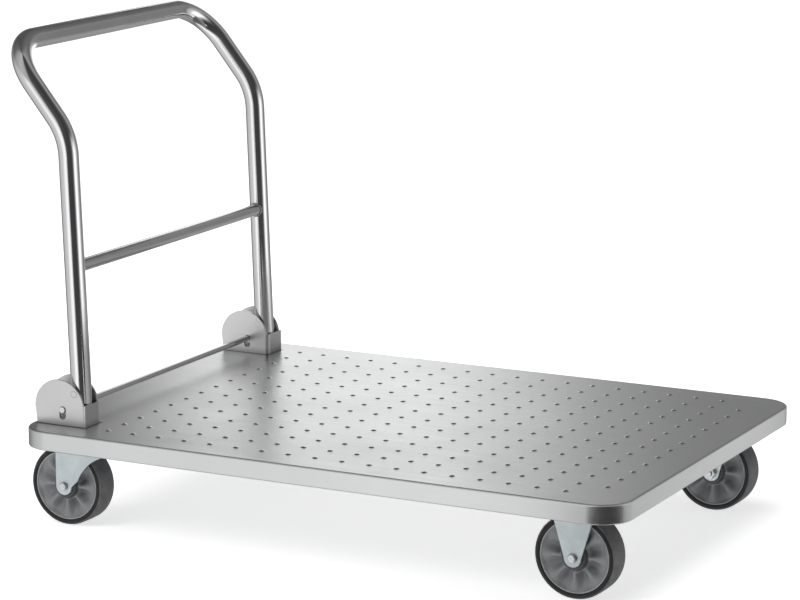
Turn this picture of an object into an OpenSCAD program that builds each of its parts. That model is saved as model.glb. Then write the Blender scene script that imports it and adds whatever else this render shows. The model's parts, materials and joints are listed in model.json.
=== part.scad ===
// Folding platform cart. A pressed sheet deck rides on two swivel casters at the handle end
// and two rigid casters at the front. A bent tube handle folds forward onto the deck and is
// held upright by a sprung rod that a foot presses down.
// X runs from the handle end to the front, Y to the left side, Z up. The floor is at Z = 0.

/* [Deck] */
// Length of the deck
deck_l = 1015; // [900:5:1200]
// Width of the deck
deck_w = 720; // [640:5:800]
// Height of the load surface above the floor
deck_h = 166; // [164:1:190]
// Depth of the folded skirt
skirt_h = 30; // [24:1:34]
// Radius of the deck's corners
deck_r = 52; // [20:1:60]
// Thickness of the deck sheet
sheet_t = 1.5; // [1:0.1:2]
// Width of the lip folded inwards under the skirt
lip_w = 12; // [6:1:16]

/* [Dimples] */
// Number of dimples along the deck
dimple_nx = 19; // [4:1:19]
// Number of dimples across the deck
dimple_ny = 14; // [4:1:14]
// Dimple spacing along the deck
dimple_px = 45.5; // [30:0.5:45.5]
// Dimple spacing across the deck
dimple_py = 47.3; // [30:0.1:47.3]
// Diameter of a dimple at its foot
dimple_d = 10; // [6:0.5:12]
// Height of a dimple
dimple_h = 1.8; // [1:0.1:2.5]

/* [Handle] */
// Outer diameter of the handle tube
tube_d = 32; // [28:1:32]
// Wall thickness of the handle and brace tubes
tube_t = 1.5; // [1:0.1:2.5]
// Backward lean of the uprights in degrees
lean = 2.2; // [0:0.1:4]
// Backward run of the upper part for each unit of its rise along the uprights
rake_slope = 0.75; // [0.5:0.25:1]
// Height above the deck where the uprights turn into the raked part
bend_h = 454; // [400:1:600]
// Length of the raked part, from that bend to the grip bar
upper_l = 173; // [160:1:260]
// Centre line radius of the lower bends
bend_r = 100; // [60:1:110]
// Centre line radius of the grip corners
corner_r = 75; // [60:1:100]
// Outer diameter of the cross brace
brace_d = 20; // [16:1:25]
// Height of the cross brace above the deck
brace_h = 248; // [200:1:350]

/* [Brackets] */
// Distance from the deck's side edge to a bracket's outer face
bracket_inset = 49; // [45:1:70]
// Width of a bracket over both plates
bracket_w = 45; // [42:1:50]
// Thickness of the bracket plates
plate_t = 3; // [2:0.5:3]
// Radius of the plates' round top
cheek_r = 44.5; // [44:0.5:48]
// Height of the front wall of a bracket
wall_h = 35; // [25:1:35]

/* [Latch] */
// Diameter of the latch rod
rod_d = 10; // [8:0.5:10]
// Height of the latch rod's centre above the deck
rod_h = 25; // [24:0.1:28]
// Downward travel of the latch rod
rod_travel = 10; // [4:1:10]

/* [Casters] */
// Diameter of the wheels
wheel_d = 128; // [100:1:128]
// Width of the tyres
wheel_w = 44; // [32:1:44]
// Distance from the side edge to the middle of a wheel
caster_inset = 90; // [80:1:120]
// Distance from the rear edge to the swivel axis
swivel_x = 88; // [84:1:120]
// Distance that a swivel wheel trails behind its swivel axis
trail = 42; // [32:1:42]
// Distance from the front edge to the rigid axles
rigid_front = 98; // [90:1:140]

/* [Hidden] */
$fn = 64;

// Clearances
run_fit = 0.05;          // radial gap of a pin or shaft that turns in its hole
slip_gap = 0.4;          // gap between parts that slide past each other
over = 1;                // how far a cutter passes the face that it cuts

// Deck and what is under it
sheet_z = deck_h - sheet_t;
skirt_z = deck_h - skirt_h;
dimple_x = deck_l - 60 - (dimple_nx - 1) * dimple_px;
channel_h = 14;
channel_t = 2;
channel_flange = 12;
channel_l = deck_w - 60;
rear_channel = [22, swivel_x + 60];
front_channel = [deck_l - rigid_front - 58, deck_l - rigid_front + 58];
rail_y = 150;
rail_w = 50;
mount_z = sheet_z - channel_h;

// Brackets, on the right side
cheek_x = 5 + cheek_r;
cheek_h = 28;
cheek_foot = 3.5;
bracket_y = -(deck_w / 2 - bracket_inset);
inner_y = bracket_y + bracket_w - plate_t;
tube_y = bracket_y + bracket_w / 2;
wall_x = cheek_x + cheek_r;
wall_bend = 8;
pivot_x = wall_x - 1.3 - tube_d / 2;
pivot_h = 52;
pivot_d = 10;
pivot_z = deck_h + pivot_h;
bracket_bolt_x = [30, 69];

// Handle
stub = 22;
turn = atan(rake_slope);
bend_t = bend_r * tan(turn / 2);
upright_l = round(100 * ((bend_h - pivot_h) / cos(lean) - bend_t)) / 100;
raked_l = round(100 * (upper_l - bend_t - corner_r)) / 100;
raked_end = bend_t + raked_l + corner_r;
grip_x = pivot_x - (upright_l + bend_t) * sin(lean) - raked_end * sin(turn + lean);
brace_s = (brace_h - pivot_h) / cos(lean);
bush_d = 16;

// The part's origin is on the floor under the middle of its overall length
centre_x = (deck_l + grip_x - tube_d / 2) / 2;

// Latch
rod_x = cheek_x + 6;
rod_end = 2;
collar_d = 16;
collar_w = 4;
spring_d = 9;
spring_wire = 1.2;
spring_turns = 5;

// Casters
axle_z = wheel_d / 2;
axle_d = 10;
head_d = 14;
nut_w = 17;
rigid_x = deck_l - rigid_front;
caster_y = -(deck_w / 2 - caster_inset);
plate_size = [104, 84];
bolt_spacing = [80, 60];
bolt_d = 8;
fork_t = 3;
fork_in = wheel_w + 6;
fork_out = fork_in + 2 * fork_t;
leg_r = 14;
caster_plate_z = mount_z - 3;
swivel_fork_z = caster_plate_z - 7;
ball_r = 3;
ball_ring_r = 18;
ball_count = 12;
kingpin_d = 12;

// Wheels
rim_r = wheel_d / 2 - 9;
hub_r = 19;
hub_w = fork_in - 2;
rim_w = wheel_w - 3;
spoke_count = 8;
spacer_d = 16;
bearing_d = 28;
bearing_w = 9;

// Puts a piece drawn from the deck's rear edge into the part's frame
module cart() translate([-centre_x, 0, 0]) children();

// A piece of the right side, or its mirror image on the left
module side(left) cart() mirror([0, left ? 1 : 0, 0]) children();

// The same piece on both sides
module both_sides() {
    side(false) children();
    side(true) children();
}

// Rounded rectangle that starts at X = 0 and is centred in Y
module rounded(l, w, r) {
    translate([r, -w / 2]) square([l - 2 * r, w]);
    translate([0, r - w / 2]) square([l, w - 2 * r]);
    for (x = [r, l - r], y = [r - w / 2, w / 2 - r]) translate([x, y]) circle(r);
}

module hex_prism(across, h) cylinder(h = h, d = across / cos(30), $fn = 6);

// ---- Deck ----

module dimples() {
    for (i = [0 : dimple_nx - 1], j = [0 : dimple_ny - 1]) {
        corner = i == dimple_nx - 1 && (j == 0 || j == dimple_ny - 1);
        y = (j - (dimple_ny - 1) / 2) * dimple_py;
        if (!corner) translate([dimple_x + i * dimple_px, y, deck_h - 0.5])
            cylinder(h = dimple_h + 0.5, d1 = dimple_d, d2 = dimple_d * 0.55);
    }
}

module deck_pan() color("silver") cart() difference() {
    union() {
        translate([0, 0, skirt_z]) linear_extrude(skirt_h) rounded(deck_l, deck_w, deck_r);
        dimples();
    }
    translate([sheet_t, 0, skirt_z + sheet_t]) linear_extrude(skirt_h - 2 * sheet_t)
        rounded(deck_l - 2 * sheet_t, deck_w - 2 * sheet_t, deck_r - sheet_t);
    translate([lip_w, 0, skirt_z - over]) linear_extrude(sheet_t + 2 * over)
        rounded(deck_l - 2 * lip_w, deck_w - 2 * lip_w, deck_r - lip_w);
    for (x = bracket_bolt_x, y = [tube_y, -tube_y]) translate([x, y, sheet_z - over])
        cylinder(h = sheet_t + 2 * over, d = 6.4);
}

// Hat section of a given height, open upwards: x = [start, end] of its body, drawn in X and Z
module hat_section(x, h) {
    for (fx = [x[0] - channel_flange, x[1] - channel_t])
        translate([fx, h - channel_t]) square([channel_flange + channel_t, channel_t]);
    for (wx = [x[0], x[1] - channel_t]) translate([wx, 0]) square([channel_t, h]);
    translate([x[0], 0]) square([x[1] - x[0], channel_t]);
}

module cross_channel(x) translate([0, channel_l / 2, mount_z]) rotate([90, 0, 0])
    linear_extrude(channel_l) hat_section(x, channel_h);

// Bolt positions of one caster plate, at the height of the current frame
module caster_bolt_places(x) for (dx = [-1, 1], dy = [-1, 1])
    translate([x + dx * bolt_spacing[0] / 2, caster_y + dy * bolt_spacing[1] / 2, 0]) children();

module bolt_holes(x, z, h) {
    mirror([0, 1, 0]) caster_bolt_places(x) translate([0, 0, z]) cylinder(h = h, d = bolt_d + 1);
    caster_bolt_places(x) translate([0, 0, z]) cylinder(h = h, d = bolt_d + 1);
}

module rear_cross_member() color("gainsboro") cart() difference() {
    cross_channel(rear_channel);
    bolt_holes(swivel_x, mount_z - over, channel_t + 2 * over);
    for (y = [caster_y, -caster_y]) translate([swivel_x, y, mount_z - over])
        cylinder(h = channel_t + 2 * over, r = 14);
}

module front_cross_member() color("gainsboro") cart() difference() {
    cross_channel(front_channel);
    bolt_holes(rigid_x, mount_z - over, channel_t + 2 * over);
}

module long_rail(left) color("gainsboro") side(left)
    translate([rear_channel[1] + channel_flange, -rail_y, mount_z]) rotate([90, 0, 90])
    linear_extrude(front_channel[0] - rear_channel[1] - 2 * channel_flange)
    hat_section([-rail_w / 2, rail_w / 2], channel_h);

// ---- Handle brackets ----

// Side outline of a bracket cheek, drawn in X and Z from the deck's surface
module cheek_outline() {
    intersection() {
        translate([cheek_x, cheek_h]) circle(cheek_r);
        translate([0, cheek_h]) square([2 * wall_x, 2 * cheek_r]);
    }
    polygon([[cheek_x - cheek_r + cheek_foot, 0], [wall_x, 0], [wall_x, cheek_h],
             [cheek_x - cheek_r, cheek_h]]);
}

// Extrudes an outline drawn in X and Z through a thickness that starts at y
module along_y(y, t) translate([0, y + t, deck_h]) rotate([90, 0, 0]) linear_extrude(t) children();

// Upright slot that guides the latch rod, and the hole for the pivot pin
module cheek_holes(y) {
    slot_r = rod_d / 2 + slip_gap;
    along_y(y - over, plate_t + 2 * over) {
        for (h = [rod_h, rod_h - rod_travel]) translate([rod_x, h]) circle(slot_r);
        translate([rod_x - slot_r, rod_h - rod_travel]) square([2 * slot_r, rod_travel]);
        translate([pivot_x, pivot_h]) circle(d = pivot_d);
    }
}

// Plan of the bent sheet: inner cheek, corner bend and front wall
module shell_plan() {
    corner = [wall_x + plate_t - wall_bend, inner_y + plate_t - wall_bend];
    translate([0, inner_y]) square([corner[0], plate_t]);
    translate([wall_x, bracket_y]) square([plate_t, corner[1] - bracket_y]);
    intersection() {
        translate(corner) difference() {
            circle(wall_bend);
            circle(wall_bend - plate_t);
        }
        translate(corner) square(wall_bend);
    }
}

module bracket_shell(left) color("lightgray") side(left) difference() {
    union() {
        intersection() {
            translate([0, 0, deck_h]) linear_extrude(cheek_h + cheek_r + over) shell_plan();
            along_y(bracket_y, bracket_w) {
                cheek_outline();
                translate([cheek_x, 0]) square([wall_x + plate_t - cheek_x, wall_h]);
            }
        }
        translate([cheek_x - cheek_r + 6, bracket_y + plate_t, deck_h])
            cube([2 * cheek_r - 6, bracket_w - 2 * plate_t, plate_t]);
    }
    cheek_holes(inner_y);
    for (x = bracket_bolt_x) translate([x, tube_y, deck_h - over])
        cylinder(h = plate_t + 2 * over, d = 6.4);
}

module bracket_plate(left) color("lightgray") side(left) difference() {
    along_y(bracket_y, plate_t) cheek_outline();
    cheek_holes(bracket_y);
}

module pivot_pins() color("gray") both_sides() translate([pivot_x, bracket_y, pivot_z])
    rotate([-90, 0, 0]) cylinder(h = bracket_w, d = pivot_d);

module bracket_bolts() color("gray") both_sides() for (x = bracket_bolt_x)
    translate([x, tube_y, deck_h + plate_t]) {
        difference() {
            cylinder(h = 3.3, d1 = 10.5, d2 = 7);
            translate([0, 0, 1.5]) hex_prism(4, 3);
        }
        translate([0, 0, -12]) cylinder(h = 12, d = 6);
    }

module bracket_nuts() color("gray") both_sides() for (x = bracket_bolt_x)
    translate([x, tube_y, sheet_z - 5]) difference() {
        hex_prism(10, 5);
        translate([0, 0, -over]) cylinder(h = 5 + 2 * over, d = 6);
    }

// ---- Handle ----

// Places its children in the handle's frame: the origin on the pivot, Z along the uprights
module on_pivot() translate([pivot_x, 0, pivot_z]) rotate([0, -lean, 0]) children();

// Arc of a lower bend about the Y axis, cut from a whole ring so that its end face lies
// exactly in the plane where the raked part starts
module bend_arc(r) difference() {
    far = bend_r + 2 * r;
    rotate([90, 0, 180]) rotate_extrude() translate([bend_r, 0]) circle(r);
    translate([-far, -far, -2 * far]) cube(2 * far);
    rotate([0, -turn, 0]) translate([-far, -far, 0]) cube(2 * far);
}

// Bent bar of radius r along the handle's centre line
module handle_bar(r, below) {
    for (y = [tube_y, -tube_y]) translate([0, y, 0]) {
        translate([0, 0, -below]) cylinder(h = below + upright_l, r = r);
        translate([-bend_r, 0, upright_l]) bend_arc(r);
    }
    translate([-bend_r, 0, upright_l]) rotate([0, -turn, 0]) translate([bend_r, 0, 0]) {
        for (side = [0, 1]) mirror([0, side, 0]) {
            translate([0, tube_y, 0]) cylinder(h = raked_l, r = r);
            translate([0, tube_y + corner_r, raked_l]) rotate([90, 0, -90])
                rotate_extrude(angle = 90) translate([corner_r, 0]) circle(r);
        }
        translate([0, tube_y + corner_r, raked_l + corner_r]) rotate([-90, 0, 0])
            cylinder(h = -2 * (tube_y + corner_r), r = r);
    }
}

module handle_tube() color("whitesmoke") cart() on_pivot() difference() {
    handle_bar(tube_d / 2, stub);
    handle_bar(tube_d / 2 - tube_t, stub + over);
    for (y = [tube_y, -tube_y]) translate([0, y - tube_d, 0]) rotate([-90, 0, 0])
        cylinder(h = 2 * tube_d, d = bush_d + 2 * run_fit);
}

module cross_brace() color("whitesmoke") cart() on_pivot() difference() {
    translate([0, tube_y, brace_s]) rotate([-90, 0, 0]) cylinder(h = -2 * tube_y, d = brace_d);
    translate([0, tube_y - over, brace_s]) rotate([-90, 0, 0])
        cylinder(h = 2 * (over - tube_y), d = brace_d - 2 * tube_t);
    for (y = [tube_y, -tube_y]) translate([0, y, brace_s - brace_d])
        cylinder(h = 2 * brace_d, d = tube_d);
}

module pivot_bushes() color("goldenrod") both_sides() translate([pivot_x, tube_y, pivot_z])
    rotate([90, 0, 0]) difference() {
        bush_l = bracket_w - 2 * plate_t - 2 * slip_gap;
        cylinder(h = bush_l, d = bush_d, center = true);
        cylinder(h = bush_l + 2 * over, d = pivot_d + 2 * run_fit, center = true);
    }

module tube_feet() color("dimgray") both_sides() on_pivot() translate([0, tube_y, -stub]) {
    translate([0, 0, -2]) cylinder(h = 2, d = tube_d);
    cylinder(h = 8, d = tube_d - 2 * tube_t);
}

// ---- Latch ----

module latch_rod() color("whitesmoke") cart()
    translate([rod_x, bracket_y - rod_end, deck_h + rod_h]) rotate([-90, 0, 0])
    cylinder(h = 2 * (rod_end - bracket_y), d = rod_d);

module latch_collars() color("gray") both_sides()
    translate([rod_x, inner_y - slip_gap, deck_h + rod_h]) rotate([90, 0, 0]) difference() {
        cylinder(h = collar_w, d = collar_d);
        translate([0, 0, -over]) cylinder(h = collar_w + 2 * over, d = rod_d);
    }

// Round wire swept along a helix: a ring of points every helix step, joined into one skin
module spring(height, turns, coil_d, wire_d) {
    sides = 8;
    per_turn = 16;
    steps = turns * per_turn;
    rise = (height - wire_d) / steps;
    points = [for (i = [0 : steps], k = [0 : sides - 1])
        let (a = 360 * i / per_turn, b = 360 * k / sides, r = coil_d / 2 + wire_d / 2 * cos(b))
        [r * cos(a), r * sin(a), wire_d / 2 * (1 + sin(b)) + i * rise]];
    skin = [for (i = [0 : steps - 1], k = [0 : sides - 1])
        let (n = (k + 1) % sides, p = i * sides)
        [p + k, p + sides + k, p + sides + n, p + n]];
    caps = [[for (k = [0 : sides - 1]) k], [for (k = [sides - 1 : -1 : 0]) steps * sides + k]];
    polyhedron(points, concat(skin, caps));
}

module latch_springs() color("silver") both_sides() {
    floor_h = plate_t + 0.1;
    translate([rod_x, tube_y - 4, deck_h + floor_h])
        spring(rod_h - rod_d / 2 - floor_h - 0.1, spring_turns, spring_d, spring_wire);
}

// ---- Casters ----

module caster_plate(x) translate([x - plate_size[0] / 2, caster_y, caster_plate_z]) difference() {
    linear_extrude(mount_z - caster_plate_z) rounded(plate_size[0], plate_size[1], 8);
    for (dx = [-1, 1], dy = [-1, 1])
        translate([plate_size[0] / 2 + dx * bolt_spacing[0] / 2, dy * bolt_spacing[1] / 2, -over])
        cylinder(h = 10, d = bolt_d + 1);
}

module caster_bolts() color("silver") both_sides() for (x = [swivel_x, rigid_x])
    caster_bolt_places(x) {
        translate([0, 0, caster_plate_z - 5.3]) hex_prism(13, 5.3);
        translate([0, 0, caster_plate_z]) cylinder(h = 13, d = bolt_d);
    }

module caster_nuts() color("silver") both_sides() for (x = [swivel_x, rigid_x])
    caster_bolt_places(x) translate([0, 0, mount_z + channel_t]) difference() {
        hex_prism(13, 6.5);
        translate([0, 0, -over]) cylinder(h = 6.5 + 2 * over, d = bolt_d);
    }

// Top plate of a swivel caster, with the pressed skirt that covers the balls
module swivel_plate(left) color("lightsteelblue") side(left) difference() {
    union() {
        caster_plate(swivel_x);
        translate([swivel_x, caster_y, caster_plate_z - 6]) difference() {
            cylinder(h = 6.5, d = 58);
            translate([0, 0, -over]) cylinder(h = 6 + over, d = 54);
        }
    }
    translate([swivel_x, caster_y, caster_plate_z - over]) cylinder(h = 10, d = kingpin_d);
}

module kingpins() color("silver") both_sides() translate([swivel_x, caster_y, 0]) {
    nut_z = swivel_fork_z - fork_t - slip_gap - 4;
    translate([0, 0, mount_z]) cylinder(h = 3, d = 22);
    translate([0, 0, nut_z]) cylinder(h = mount_z - nut_z, d = kingpin_d);
    translate([0, 0, nut_z]) cylinder(h = 4, d = 22);
}

module swivel_balls(left) color("silver") side(left)
    translate([swivel_x, caster_y, (caster_plate_z + swivel_fork_z) / 2])
    for (i = [0 : ball_count - 1]) rotate([0, 0, 360 * i / ball_count])
        translate([ball_ring_r, 0, 0]) sphere(ball_r);

// Upside-down U of bent sheet, drawn in Y and Z with its top at z
module fork_section(z) difference() {
    union() {
        translate([-fork_out / 2, 0]) square([fork_out, z - 7]);
        translate([7 - fork_out / 2, 0]) square([fork_out - 14, z]);
        for (y = [7 - fork_out / 2, fork_out / 2 - 7]) translate([y, z - 7]) circle(7);
    }
    translate([-fork_in / 2, -over]) square([fork_in, z - 7 + over]);
    translate([4 - fork_in / 2, -over]) square([fork_in - 8, z - fork_t + over]);
    for (y = [4 - fork_in / 2, fork_in / 2 - 4]) translate([y, z - fork_t - 4]) circle(4);
}

// Fork at x: its section cut to the side outline that the children draw in X and Z
module fork(x, top) intersection() {
    translate([x - 80, caster_y, 0]) rotate([90, 0, 90]) linear_extrude(160) fork_section(top);
    translate([x, caster_y + 40, 0]) rotate([90, 0, 0]) linear_extrude(80) children();
}

// Leg of the swivel fork: straight behind, hollowed in front, round at the trailing axle
module swivel_leg() difference() {
    union() {
        translate([-trail, axle_z]) circle(leg_r);
        polygon([[-trail - leg_r, axle_z], [-trail + leg_r, axle_z],
                 [40, swivel_fork_z - 12], [40, swivel_fork_z], [-trail - leg_r, swivel_fork_z]]);
    }
    translate([54, axle_z - 18]) circle(76);
}

// Leg of the rigid fork: a wedge that narrows down to the axle
module rigid_leg() {
    half = 32;
    waist_z = caster_plate_z - 24;
    translate([0, axle_z]) circle(leg_r);
    polygon([[-leg_r, axle_z], [leg_r, axle_z], [half, waist_z],
             [half, caster_plate_z], [-half, caster_plate_z], [-half, waist_z]]);
}

module axle_hole(x, d) translate([x, caster_y - fork_out, axle_z]) rotate([-90, 0, 0])
    cylinder(h = 2 * fork_out, d = d);

module swivel_fork(left) color("lightsteelblue") side(left) difference() {
    fork(swivel_x, swivel_fork_z) swivel_leg();
    axle_hole(swivel_x - trail, axle_d);
    translate([swivel_x, caster_y, swivel_fork_z - 2 * fork_t])
        cylinder(h = 3 * fork_t, d = kingpin_d + 2 * run_fit);
}

module rigid_plate(left) color("lightsteelblue") side(left) caster_plate(rigid_x);

module rigid_fork(left) color("lightsteelblue") side(left) difference() {
    fork(rigid_x, caster_plate_z) rigid_leg();
    axle_hole(rigid_x, axle_d);
}

// Bolt through both legs, its round head on the outer side
module axle_bolt(x) translate([x, caster_y - fork_out / 2, axle_z]) rotate([-90, 0, 0]) {
    translate([0, 0, -5]) cylinder(h = 1.2, d1 = head_d - 2.4, d2 = head_d);
    translate([0, 0, -3.8]) cylinder(h = 3.8, d = head_d);
    cylinder(h = fork_out + 11, d = axle_d);
}

module axle_nut(x) translate([x, caster_y + fork_out / 2, axle_z]) rotate([-90, 0, 0]) difference() {
    hex_prism(nut_w, 8);
    translate([0, 0, -over]) cylinder(h = 8 + 2 * over, d = axle_d);
}

module spacer(x) translate([x, caster_y, axle_z]) rotate([90, 0, 0]) difference() {
    cylinder(h = fork_in, d = spacer_d, center = true);
    cylinder(h = fork_in + 2 * over, d = axle_d + 0.2, center = true);
}

module swivel_axle(left) color("silver") side(left) axle_bolt(swivel_x - trail);
module swivel_nut(left) color("silver") side(left) axle_nut(swivel_x - trail);
module swivel_spacer(left) color("gray") side(left) spacer(swivel_x - trail);
module rigid_axles() color("silver") both_sides() axle_bolt(rigid_x);
module rigid_nuts() color("silver") both_sides() axle_nut(rigid_x);
module rigid_spacers() color("gray") both_sides() spacer(rigid_x);

// ---- Wheels ----

// Turns a wheel piece, drawn about Z, onto the axle at x
module on_axle(x) translate([x, caster_y, axle_z]) rotate([90, 0, 0]) children();

// Pockets between the spokes, on both faces of the core
module pockets() for (flip = [0, 1]) mirror([0, 0, flip]) translate([0, 0, 3])
    linear_extrude(rim_w) difference() {
        circle(rim_r - 6);
        circle(hub_r);
        for (i = [0 : spoke_count - 1]) rotate(360 * i / spoke_count)
            translate([0, -2]) square([rim_r, 4]);
    }

module wheel_core(x) color("darkgray") on_axle(x) difference() {
    union() {
        cylinder(h = rim_w, r = rim_r, center = true);
        cylinder(h = hub_w, r = hub_r, center = true);
    }
    pockets();
    cylinder(h = hub_w + 2 * over, d = spacer_d + 4, center = true);
    for (flip = [0, 1]) mirror([0, 0, flip]) translate([0, 0, hub_w / 2 - bearing_w - 0.5])
        cylinder(h = bearing_w + 2, d = bearing_d);
}

// Tyre profile: a band with round shoulders
module tyre(x) color([0.16, 0.16, 0.17]) on_axle(x) rotate_extrude() {
    shoulder = 4;
    r = wheel_d / 2;
    translate([rim_r, -wheel_w / 2 + 1]) square([r - shoulder - rim_r, wheel_w - 2]);
    translate([rim_r + 1, -wheel_w / 2]) square([r - shoulder - rim_r - 1, wheel_w]);
    translate([rim_r, shoulder - wheel_w / 2]) square([r - rim_r, wheel_w - 2 * shoulder]);
    for (y = [shoulder - wheel_w / 2, wheel_w / 2 - shoulder]) translate([r - shoulder, y])
        circle(shoulder);
}

module bearings(x) color("silver") on_axle(x) for (flip = [0, 1]) mirror([0, 0, flip])
    translate([0, 0, hub_w / 2 - bearing_w - 0.5]) difference() {
        cylinder(h = bearing_w, d = bearing_d);
        translate([0, 0, -over]) cylinder(h = bearing_w + 2 * over, d = spacer_d + 2 * run_fit);
    }

deck_pan();
rear_cross_member();
front_cross_member();
long_rail(false);  // long_rail_right
long_rail(true);  // long_rail_left
bracket_shell(false);  // bracket_shell_right
bracket_shell(true);  // bracket_shell_left
bracket_plate(false);  // bracket_plate_right
bracket_plate(true);  // bracket_plate_left
pivot_pins();
bracket_bolts();
bracket_nuts();
caster_bolts();
caster_nuts();
swivel_plate(false);  // swivel_plate_right
swivel_plate(true);  // swivel_plate_left
kingpins();
swivel_fork(false);  // swivel_fork_right
swivel_fork(true);  // swivel_fork_left
swivel_balls(false);  // swivel_balls_right
swivel_balls(true);  // swivel_balls_left
swivel_axle(false);  // swivel_axle_right
swivel_axle(true);  // swivel_axle_left
swivel_nut(false);  // swivel_nut_right
swivel_nut(true);  // swivel_nut_left
swivel_spacer(false);  // swivel_spacer_right
swivel_spacer(true);  // swivel_spacer_left
rigid_plate(false);  // rigid_plate_right
rigid_plate(true);  // rigid_plate_left
rigid_fork(false);  // rigid_fork_right
rigid_fork(true);  // rigid_fork_left
rigid_axles();
rigid_nuts();
rigid_spacers();
side(false) wheel_core(swivel_x - trail);  // swivel_core_right
side(true) wheel_core(swivel_x - trail);  // swivel_core_left
side(false) wheel_core(rigid_x);  // rigid_core_right
side(true) wheel_core(rigid_x);  // rigid_core_left
side(false) tyre(swivel_x - trail);  // swivel_tyre_right
side(true) tyre(swivel_x - trail);  // swivel_tyre_left
side(false) tyre(rigid_x);  // rigid_tyre_right
side(true) tyre(rigid_x);  // rigid_tyre_left
side(false) bearings(swivel_x - trail);  // swivel_bearings_right
side(true) bearings(swivel_x - trail);  // swivel_bearings_left
side(false) bearings(rigid_x);  // rigid_bearings_right
side(true) bearings(rigid_x);  // rigid_bearings_left
latch_rod();
latch_collars();
latch_springs();
handle_tube();
cross_brace();
pivot_bushes();
tube_feet();
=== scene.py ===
"""Looks of the folding platform cart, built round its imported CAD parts.

Everything is in metres in the part's own frame: the floor at Z = 0, +X to the front, +Y to the left.
Smooth or detailed pieces (deck, handle, tyres, wheel cores, springs) are meshes made here that
stand for their CAD nodes. The other CAD nodes stay, with softened edges. All materials are
procedural.
"""

import json
import math

import bmesh
import bpy
import numpy as np
from mathutils import Matrix, Vector


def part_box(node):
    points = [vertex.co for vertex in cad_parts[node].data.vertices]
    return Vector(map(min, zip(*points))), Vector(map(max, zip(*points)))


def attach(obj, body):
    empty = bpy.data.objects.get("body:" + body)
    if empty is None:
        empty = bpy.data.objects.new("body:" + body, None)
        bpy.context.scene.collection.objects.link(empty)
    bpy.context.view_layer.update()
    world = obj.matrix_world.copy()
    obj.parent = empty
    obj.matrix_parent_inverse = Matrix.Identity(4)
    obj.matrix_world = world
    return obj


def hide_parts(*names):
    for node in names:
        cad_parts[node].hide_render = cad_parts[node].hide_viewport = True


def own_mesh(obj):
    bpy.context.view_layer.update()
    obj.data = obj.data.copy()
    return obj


# ---------------------------------------------------------------- sizes, as in the CAD source

SHEET_T = 0.0015
DECK_R = 0.052
FOLD_R = 0.003
LIP_R = 0.0025
LIP_W = 0.012
DIMPLE_R = 0.005
DIMPLE_H = 0.0018
UNDER_DIMPLE_R = 0.0042
DIMPLE_COLUMNS, DIMPLE_ROWS = 19, 14
DIMPLE_PITCH_X, DIMPLE_PITCH_Y = 0.0455, 0.0473
DIMPLE_FROM_FRONT = 0.060
# Radii of the rings that a dimple is made of, as shares of its own radius
FINE_RINGS = (1, 0.86, 0.72, 0.58, 0.42, 0.22)
COARSE_RINGS = (1, 0.7, 0.35)

TUBE_R = 0.016
TUBE_T = 0.0015
STUB = 0.022
LEAN = math.radians(2.2)
TURN = math.atan(0.75)
BEND_R = 0.100
CORNER_R = 0.075
UPRIGHT_L = 0.36896
RAKED_L = 0.06467
BRACE_R = 0.010
BRACE_S = 0.19614
BUSH_BORE_R = 0.00805

WHEEL_R = 0.064
RIM_R = 0.055
HUB_R = 0.019
HUB_HALF = 0.024
TYRE_HALF = 0.022
BEARING_R = 0.014
BEARING_W = 0.0095
CORE_BORE_R = 0.010
SPOKES = 8
# Radii where the tread's rubber and the core's pale rim start, and where the painted shade round its hub
# and bore ends
TREAD_FROM_R = WHEEL_R - 0.0028
PALE_RIM_FROM_R = RIM_R - 0.0022
HUB_SHADE_TO_R = HUB_R + 0.0032

SPRING_COIL_R = 0.0045
SPRING_WIRE_R = 0.0006
SPRING_TURNS = 5

SIDES = ("right", "left")

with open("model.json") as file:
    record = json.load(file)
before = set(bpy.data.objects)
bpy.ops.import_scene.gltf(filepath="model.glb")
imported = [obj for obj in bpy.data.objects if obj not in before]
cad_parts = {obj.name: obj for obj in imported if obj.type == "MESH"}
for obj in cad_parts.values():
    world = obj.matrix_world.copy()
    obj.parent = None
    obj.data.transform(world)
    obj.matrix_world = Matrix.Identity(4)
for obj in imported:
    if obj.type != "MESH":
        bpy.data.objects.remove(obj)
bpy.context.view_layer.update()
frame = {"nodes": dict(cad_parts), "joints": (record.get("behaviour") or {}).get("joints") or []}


def named_joint(name):
    return next(j for j in frame["joints"] if j["name"] == name)


pan_lo, pan_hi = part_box("deck_pan")
deck_z = pan_hi.z - DIMPLE_H
pivot = Vector(named_joint("handle_fold")["pos_m"])
tube_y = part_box("handle_tube")[1].y - TUBE_R


# ---------------------------------------------------------------- node helpers


def add_node(tree, kind, inputs=(), **settings):
    """A node with its settings, its sockets linked or set to plain values."""
    node = tree.nodes.new(kind)
    for key, value in settings.items():
        setattr(node, key, value)
    for key, value in dict(inputs).items():
        if isinstance(value, bpy.types.NodeSocket):
            tree.links.new(value, node.inputs[key])
        else:
            node.inputs[key].default_value = value
    return node


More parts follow.
